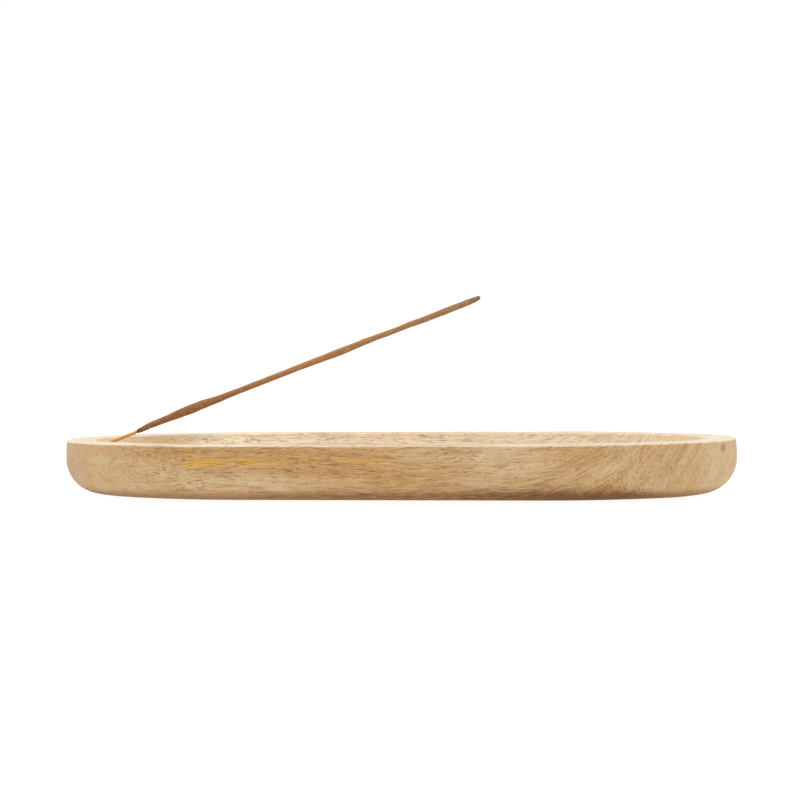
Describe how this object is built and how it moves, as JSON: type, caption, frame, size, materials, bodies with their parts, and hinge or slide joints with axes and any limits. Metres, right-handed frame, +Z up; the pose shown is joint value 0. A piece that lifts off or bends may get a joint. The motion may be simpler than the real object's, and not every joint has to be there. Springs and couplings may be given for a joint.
{
  "type": "incense burner",
  "caption": "Elongated oval wooden ash-catcher tray with a wide flat rim and a dished recess, holding an incense stick at a slant in a hole in one end.",
  "frame": {"origin": "centre of the tray's flat base, on the surface it stands on", "axes": "+X along the tray towards the end that the stick points at, +Y across the tray, +Z up"},
  "size_m": [0.3, 0.1, 0.0882],
  "materials": {
    "carved_wood": "matte, sanded and lightly waxed",
    "bamboo": "matte, split bamboo",
    "incense_paste": "matte, dry powdery wood-powder paste"
  },
  "bodies": {
    "tray": {"tray": "carved_wood"},
    "incense_stick": {"bamboo_core": "bamboo", "incense_paste": "incense_paste"}
  },
  "joints": [
    {"name": "stick_pull", "type": "slide", "parent": "tray", "child": "incense_stick", "axis": [0.9361, 0, 0.3518], "range_m": [0, 0.06]}
  ]
}
